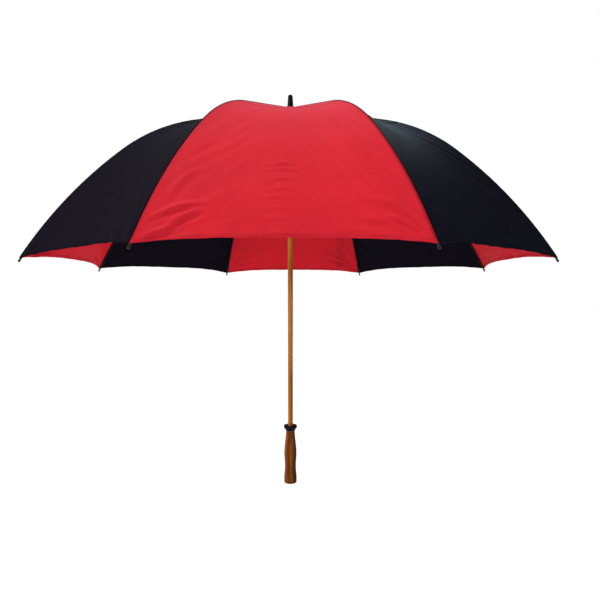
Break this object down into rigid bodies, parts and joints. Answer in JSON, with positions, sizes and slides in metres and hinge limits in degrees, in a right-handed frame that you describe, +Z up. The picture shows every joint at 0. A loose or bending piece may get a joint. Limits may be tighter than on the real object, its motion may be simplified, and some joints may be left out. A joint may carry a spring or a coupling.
{
  "type": "golf umbrella",
  "caption": "Large stick umbrella with a domed two-colour fabric canopy on hinged ribs, a sliding runner, a round wooden shaft and a turned wooden handle.",
  "frame": {"origin": "centre of the handle's flat bottom end, on the shaft's axis", "axes": "+Z up the shaft to the ferrule, -Y to the middle of the front red gore, +X to the right seen from the front; ribs 22.5 degrees off the axes"},
  "size_m": [1.135, 1.135, 0.974],
  "materials": {
    "light_wood": "satin",
    "dark_wood": "satin",
    "black_plastic": "satin",
    "black_steel": "satin",
    "tip_metal": "polished",
    "steel_pin": "satin",
    "steel_catch": "satin",
    "red_fabric": "satin",
    "black_fabric": "satin"
  },
  "bodies": {
    "stick": {"shaft": "light_wood", "shaft_pins": "steel_pin", "handle": "dark_wood", "tip_cup": "black_plastic", "ferrule": "black_plastic", "crown_cap": "black_plastic", "crown_ring": "black_plastic", "crown_wire": "steel_pin"},
    "runner": {"runner": "black_plastic"},
    "top_catch": {"top_catch": "steel_catch"},
    "bottom_catch": {"bottom_catch": "steel_catch"},
    "rib_1_upper": {"rib_upper_1": "black_steel"},
    "rib_1_lower": {"rib_lower_1": "black_steel", "rib_tip_1": "tip_metal"},
    "strut_1": {"stretcher_1": "black_steel"},
    "gore_1_upper": {"canopy_upper_1": "black_fabric"},
    "gore_1_lower": {"canopy_lower_1": "black_fabric"},
    "rib_2_upper": {"rib_upper_2": "black_steel"},
    "rib_2_lower": {"rib_lower_2": "black_steel", "rib_tip_2": "tip_metal", "tie_strap": "red_fabric"},
    "strut_2": {"stretcher_2": "black_steel"},
    "gore_2_upper": {"canopy_upper_2": "red_fabric"},
    "gore_2_lower": {"canopy_lower_2": "red_fabric"},
    "rib_3_upper": {"rib_upper_3": "black_steel"},
    "rib_3_lower": {"rib_lower_3": "black_steel", "rib_tip_3": "tip_metal"},
    "strut_3": {"stretcher_3": "black_steel"},
    "gore_3_upper": {"canopy_upper_3": "black_fabric"},
    "gore_3_lower": {"canopy_lower_3": "black_fabric"},
    "rib_4_upper": {"rib_upper_4": "black_steel"},
    "rib_4_lower": {"rib_lower_4": "black_steel", "rib_tip_4": "tip_metal"},
    "strut_4": {"stretcher_4": "black_steel"},
    "gore_4_upper": {"canopy_upper_4": "red_fabric"},
    "gore_4_lower": {"canopy_lower_4": "red_fabric"},
    "rib_5_upper": {"rib_upper_5": "black_steel"},
    "rib_5_lower": {"rib_lower_5": "black_steel", "rib_tip_5": "tip_metal"},
    "strut_5": {"stretcher_5": "black_steel"},
    "gore_5_upper": {"canopy_upper_5": "black_fabric"},
    "gore_5_lower": {"canopy_lower_5": "black_fabric"},
    "rib_6_upper": {"rib_upper_6": "black_steel"},
    "rib_6_lower": {"rib_lower_6": "black_steel", "rib_tip_6": "tip_metal"},
    "strut_6": {"stretcher_6": "black_steel"},
    "gore_6_upper": {"canopy_upper_6": "red_fabric"},
    "gore_6_lower": {"canopy_lower_6": "red_fabric"},
    "rib_7_upper": {"rib_upper_7": "black_steel"},
    "rib_7_lower": {"rib_lower_7": "black_steel", "rib_tip_7": "tip_metal"},
    "strut_7": {"stretcher_7": "black_steel"},
    "gore_7_upper": {"canopy_upper_7": "black_fabric"},
    "gore_7_lower": {"canopy_lower_7": "black_fabric"},
    "rib_8_upper": {"rib_upper_8": "black_steel"},
    "rib_8_lower": {"rib_lower_8": "black_steel", "rib_tip_8": "tip_metal"},
    "strut_8": {"stretcher_8": "black_steel"},
    "gore_8_upper": {"canopy_upper_8": "red_fabric"},
    "gore_8_lower": {"canopy_lower_8": "red_fabric"}
  },
  "joints": [
    {"name": "runner_slide", "type": "slide", "parent": "stick", "child": "runner", "axis": [0, 0, 1], "range_m": [-0.3322, 0]},
    {"name": "rib_1_hinge", "type": "hinge", "parent": "stick", "child": "rib_1_upper", "pos_m": [0.00924, 0.00383, 0.937], "axis": [-0.3827, 0.9239, 0], "range_deg": [0, 74.32]},
    {"name": "rib_1_flex", "type": "hinge", "parent": "rib_1_upper", "child": "rib_1_lower", "pos_m": [0.2539, 0.10517, 0.87166], "axis": [-0.3827, 0.9239, 0], "range_deg": [-29.02, 0]},
    {"name": "strut_1_pivot", "type": "hinge", "parent": "rib_1_upper", "child": "strut_1", "pos_m": [0.24413, 0.10112, 0.86817], "axis": [-0.3827, 0.9239, 0], "range_deg": [-131.44, 0]},
    {"name": "gore_1_upper_fold", "type": "hinge", "parent": "rib_1_upper", "child": "gore_1_upper", "pos_m": [-0.14697, -0.14697, 0.78393], "axis": [-0.5793, -0.5793, -0.5735], "range_deg": [0, 53.47], "deforming": ["canopy_upper_1"]},
    {"name": "gore_1_lower_fold", "type": "hinge", "parent": "rib_1_lower", "child": "gore_1_lower", "pos_m": [-0.14957, -0.14957, 1.03568], "axis": [-0.6598, -0.6598, -0.3597], "range_deg": [0, 33.92], "deforming": ["canopy_lower_1"]},
    {"name": "rib_2_hinge", "type": "hinge", "parent": "stick", "child": "rib_2_upper", "pos_m": [0.00383, 0.00924, 0.937], "axis": [-0.9239, 0.3827, 0], "range_deg": [0, 74.32]},
    {"name": "rib_2_flex", "type": "hinge", "parent": "rib_2_upper", "child": "rib_2_lower", "pos_m": [0.10517, 0.2539, 0.87166], "axis": [-0.9239, 0.3827, 0], "range_deg": [-29.02, 0]},
    {"name": "strut_2_pivot", "type": "hinge", "parent": "rib_2_upper", "child": "strut_2", "pos_m": [0.10112, 0.24413, 0.86817], "axis": [-0.9239, 0.3827, 0], "range_deg": [-131.44, 0]},
    {"name": "gore_2_upper_fold", "type": "hinge", "parent": "rib_2_upper", "child": "gore_2_upper", "pos_m": [0, -0.20785, 0.78393], "axis": [0, -0.8192, -0.5735], "range_deg": [0, 53.47], "deforming": ["canopy_upper_2"]},
    {"name": "gore_2_lower_fold", "type": "hinge", "parent": "rib_2_lower", "child": "gore_2_lower", "pos_m": [0, -0.21153, 1.03568], "axis": [0, -0.9331, -0.3597], "range_deg": [0, 33.92], "deforming": ["canopy_lower_2", "tie_strap"]},
    {"name": "rib_3_hinge", "type": "hinge", "parent": "stick", "child": "rib_3_upper", "pos_m": [-0.00383, 0.00924, 0.937], "axis": [-0.9239, -0.3827, 0], "range_deg": [0, 74.32]},
    {"name": "rib_3_flex", "type": "hinge", "parent": "rib_3_upper", "child": "rib_3_lower", "pos_m": [-0.10517, 0.2539, 0.87166], "axis": [-0.9239, -0.3827, 0], "range_deg": [-29.02, 0]},
    {"name": "strut_3_pivot", "type": "hinge", "parent": "rib_3_upper", "child": "strut_3", "pos_m": [-0.10112, 0.24413, 0.86817], "axis": [-0.9239, -0.3827, 0], "range_deg": [-131.44, 0]},
    {"name": "gore_3_upper_fold", "type": "hinge", "parent": "rib_3_upper", "child": "gore_3_upper", "pos_m": [0.14697, -0.14697, 0.78393], "axis": [0.5793, -0.5793, -0.5735], "range_deg": [0, 53.47], "deforming": ["canopy_upper_3"]},
    {"name": "gore_3_lower_fold", "type": "hinge", "parent": "rib_3_lower", "child": "gore_3_lower", "pos_m": [0.14957, -0.14957, 1.03568], "axis": [0.6598, -0.6598, -0.3597], "range_deg": [0, 33.92], "deforming": ["canopy_lower_3"]},
    {"name": "rib_4_hinge", "type": "hinge", "parent": "stick", "child": "rib_4_upper", "pos_m": [-0.00924, 0.00383, 0.937], "axis": [-0.3827, -0.9239, 0], "range_deg": [0, 74.32]},
    {"name": "rib_4_flex", "type": "hinge", "parent": "rib_4_upper", "child": "rib_4_lower", "pos_m": [-0.2539, 0.10517, 0.87166], "axis": [-0.3827, -0.9239, 0], "range_deg": [-29.02, 0]},
    {"name": "strut_4_pivot", "type": "hinge", "parent": "rib_4_upper", "child": "strut_4", "pos_m": [-0.24413, 0.10112, 0.86817], "axis": [-0.3827, -0.9239, 0], "range_deg": [-131.44, 0]},
    {"name": "gore_4_upper_fold", "type": "hinge", "parent": "rib_4_upper", "child": "gore_4_upper", "pos_m": [0.20785, 0, 0.78393], "axis": [0.8192, 0, -0.5735], "range_deg": [0, 53.47], "deforming": ["canopy_upper_4"]},
    {"name": "gore_4_lower_fold", "type": "hinge", "parent": "rib_4_lower", "child": "gore_4_lower", "pos_m": [0.21153, 0, 1.03568], "axis": [0.9331, 0, -0.3597], "range_deg": [0, 33.92], "deforming": ["canopy_lower_4"]},
    {"name": "rib_5_hinge", "type": "hinge", "parent": "stick", "child": "rib_5_upper", "pos_m": [-0.00924, -0.00383, 0.937], "axis": [0.3827, -0.9239, 0], "range_deg": [0, 74.32]},
    {"name": "rib_5_flex", "type": "hinge", "parent": "rib_5_upper", "child": "rib_5_lower", "pos_m": [-0.2539, -0.10517, 0.87166], "axis": [0.3827, -0.9239, 0], "range_deg": [-29.02, 0]},
    {"name": "strut_5_pivot", "type": "hinge", "parent": "rib_5_upper", "child": "strut_5", "pos_m": [-0.24413, -0.10112, 0.86817], "axis": [0.3827, -0.9239, 0], "range_deg": [-131.44, 0]},
    {"name": "gore_5_upper_fold", "type": "hinge", "parent": "rib_5_upper", "child": "gore_5_upper", "pos_m": [0.14697, 0.14697, 0.78393], "axis": [0.5793, 0.5793, -0.5735], "range_deg": [0, 53.47], "deforming": ["canopy_upper_5"]},
    {"name": "gore_5_lower_fold", "type": "hinge", "parent": "rib_5_lower", "child": "gore_5_lower", "pos_m": [0.14957, 0.14957, 1.03568], "axis": [0.6598, 0.6598, -0.3597], "range_deg": [0, 33.92], "deforming": ["canopy_lower_5"]},
    {"name": "rib_6_hinge", "type": "hinge", "parent": "stick", "child": "rib_6_upper", "pos_m": [-0.00383, -0.00924, 0.937], "axis": [0.9239, -0.3827, 0], "range_deg": [0, 74.32]},
    {"name": "rib_6_flex", "type": "hinge", "parent": "rib_6_upper", "child": "rib_6_lower", "pos_m": [-0.10517, -0.2539, 0.87166], "axis": [0.9239, -0.3827, 0], "range_deg": [-29.02, 0]},
    {"name": "strut_6_pivot", "type": "hinge", "parent": "rib_6_upper", "child": "strut_6", "pos_m": [-0.10112, -0.24413, 0.86817], "axis": [0.9239, -0.3827, 0], "range_deg": [-131.44, 0]},
    {"name": "gore_6_upper_fold", "type": "hinge", "parent": "rib_6_upper", "child": "gore_6_upper", "pos_m": [0, 0.20785, 0.78393], "axis": [0, 0.8192, -0.5735], "range_deg": [0, 53.47], "deforming": ["canopy_upper_6"]},
    {"name": "gore_6_lower_fold", "type": "hinge", "parent": "rib_6_lower", "child": "gore_6_lower", "pos_m": [0, 0.21153, 1.03568], "axis": [0, 0.9331, -0.3597], "range_deg": [0, 33.92], "deforming": ["canopy_lower_6"]},
    {"name": "rib_7_hinge", "type": "hinge", "parent": "stick", "child": "rib_7_upper", "pos_m": [0.00383, -0.00924, 0.937], "axis": [0.9239, 0.3827, 0], "range_deg": [0, 74.32]},
    {"name": "rib_7_flex", "type": "hinge", "parent": "rib_7_upper", "child": "rib_7_lower", "pos_m": [0.10517, -0.2539, 0.87166], "axis": [0.9239, 0.3827, 0], "range_deg": [-29.02, 0]},
    {"name": "strut_7_pivot", "type": "hinge", "parent": "rib_7_upper", "child": "strut_7", "pos_m": [0.10112, -0.24413, 0.86817], "axis": [0.9239, 0.3827, 0], "range_deg": [-131.44, 0]},
    {"name": "gore_7_upper_fold", "type": "hinge", "parent": "rib_7_upper", "child": "gore_7_upper", "pos_m": [-0.14697, 0.14697, 0.78393], "axis": [-0.5793, 0.5793, -0.5735], "range_deg": [0, 53.47], "deforming": ["canopy_upper_7"]},
    {"name": "gore_7_lower_fold", "type": "hinge", "parent": "rib_7_lower", "child": "gore_7_lower", "pos_m": [-0.14957, 0.14957, 1.03568], "axis": [-0.6598, 0.6598, -0.3597], "range_deg": [0, 33.92], "deforming": ["canopy_lower_7"]},
    {"name": "rib_8_hinge", "type": "hinge", "parent": "stick", "child": "rib_8_upper", "pos_m": [0.00924, -0.00383, 0.937], "axis": [0.3827, 0.9239, 0], "range_deg": [0, 74.32]},
    {"name": "rib_8_flex", "type": "hinge", "parent": "rib_8_upper", "child": "rib_8_lower", "pos_m": [0.2539, -0.10517, 0.87166], "axis": [0.3827, 0.9239, 0], "range_deg": [-29.02, 0]},
    {"name": "strut_8_pivot", "type": "hinge", "parent": "rib_8_upper", "child": "strut_8", "pos_m": [0.24413, -0.10112, 0.86817], "axis": [0.3827, 0.9239, 0], "range_deg": [-131.44, 0]},
    {"name": "gore_8_upper_fold", "type": "hinge", "parent": "rib_8_upper", "child": "gore_8_upper", "pos_m": [-0.20785, 0, 0.78393], "axis": [-0.8192, 0, -0.5735], "range_deg": [0, 53.47], "deforming": ["canopy_upper_8"]},
    {"name": "gore_8_lower_fold", "type": "hinge", "parent": "rib_8_lower", "child": "gore_8_lower", "pos_m": [-0.21153, 0, 1.03568], "axis": [-0.9331, 0, -0.3597], "range_deg": [0, 33.92], "deforming": ["canopy_lower_8"]},
    {"name": "bottom_catch_press", "type": "hinge", "parent": "stick", "child": "bottom_catch", "pos_m": [0.0036, 0, 0.3195], "axis": [0, 1, 0], "range_deg": [0, 14], "stiffness_Nm_per_rad": 0.05},
    {"name": "top_catch_press", "type": "hinge", "parent": "stick", "child": "top_catch", "pos_m": [0.0036, 0, 0.6715], "axis": [0, -1, 0], "range_deg": [0, 14], "stiffness_Nm_per_rad": 0.05}
  ],
  "couplings": [
    {"joint": "rib_1_hinge", "follows": "runner_slide", "rad_per_m": -3.9036},
    {"joint": "rib_1_flex", "follows": "runner_slide", "rad_per_m": 1.5236},
    {"joint": "strut_1_pivot", "follows": "runner_slide", "rad_per_m": 6.9048},
    {"joint": "gore_1_upper_fold", "follows": "runner_slide", "rad_per_m": -2.8081},
    {"joint": "gore_1_lower_fold", "follows": "runner_slide", "rad_per_m": -1.781},
    {"joint": "rib_2_hinge", "follows": "runner_slide", "rad_per_m": -3.9036},
    {"joint": "rib_2_flex", "follows": "runner_slide", "rad_per_m": 1.5236},
    {"joint": "strut_2_pivot", "follows": "runner_slide", "rad_per_m": 6.9048},
    {"joint": "gore_2_upper_fold", "follows": "runner_slide", "rad_per_m": -2.8081},
    {"joint": "gore_2_lower_fold", "follows": "runner_slide", "rad_per_m": -1.781},
    {"joint": "rib_3_hinge", "follows": "runner_slide", "rad_per_m": -3.9036},
    {"joint": "rib_3_flex", "follows": "runner_slide", "rad_per_m": 1.5236},
    {"joint": "strut_3_pivot", "follows": "runner_slide", "rad_per_m": 6.9048},
    {"joint": "gore_3_upper_fold", "follows": "runner_slide", "rad_per_m": -2.8081},
    {"joint": "gore_3_lower_fold", "follows": "runner_slide", "rad_per_m": -1.781},
    {"joint": "rib_4_hinge", "follows": "runner_slide", "rad_per_m": -3.9036},
    {"joint": "rib_4_flex", "follows": "runner_slide", "rad_per_m": 1.5236},
    {"joint": "strut_4_pivot", "follows": "runner_slide", "rad_per_m": 6.9048},
    {"joint": "gore_4_upper_fold", "follows": "runner_slide", "rad_per_m": -2.8081},
    {"joint": "gore_4_lower_fold", "follows": "runner_slide", "rad_per_m": -1.781},
    {"joint": "rib_5_hinge", "follows": "runner_slide", "rad_per_m": -3.9036},
    {"joint": "rib_5_flex", "follows": "runner_slide", "rad_per_m": 1.5236},
    {"joint": "strut_5_pivot", "follows": "runner_slide", "rad_per_m": 6.9048},
    {"joint": "gore_5_upper_fold", "follows": "runner_slide", "rad_per_m": -2.8081},
    {"joint": "gore_5_lower_fold", "follows": "runner_slide", "rad_per_m": -1.781},
    {"joint": "rib_6_hinge", "follows": "runner_slide", "rad_per_m": -3.9036},
    {"joint": "rib_6_flex", "follows": "runner_slide", "rad_per_m": 1.5236},
    {"joint": "strut_6_pivot", "follows": "runner_slide", "rad_per_m": 6.9048},
    {"joint": "gore_6_upper_fold", "follows": "runner_slide", "rad_per_m": -2.8081},
    {"joint": "gore_6_lower_fold", "follows": "runner_slide", "rad_per_m": -1.781},
    {"joint": "rib_7_hinge", "follows": "runner_slide", "rad_per_m": -3.9036},
    {"joint": "rib_7_flex", "follows": "runner_slide", "rad_per_m": 1.5236},
    {"joint": "strut_7_pivot", "follows": "runner_slide", "rad_per_m": 6.9048},
    {"joint": "gore_7_upper_fold", "follows": "runner_slide", "rad_per_m": -2.8081},
    {"joint": "gore_7_lower_fold", "follows": "runner_slide", "rad_per_m": -1.781},
    {"joint": "rib_8_hinge", "follows": "runner_slide", "rad_per_m": -3.9036},
    {"joint": "rib_8_flex", "follows": "runner_slide", "rad_per_m": 1.5236},
    {"joint": "strut_8_pivot", "follows": "runner_slide", "rad_per_m": 6.9048},
    {"joint": "gore_8_upper_fold", "follows": "runner_slide", "rad_per_m": -2.8081},
    {"joint": "gore_8_lower_fold", "follows": "runner_slide", "rad_per_m": -1.781}
  ]
}
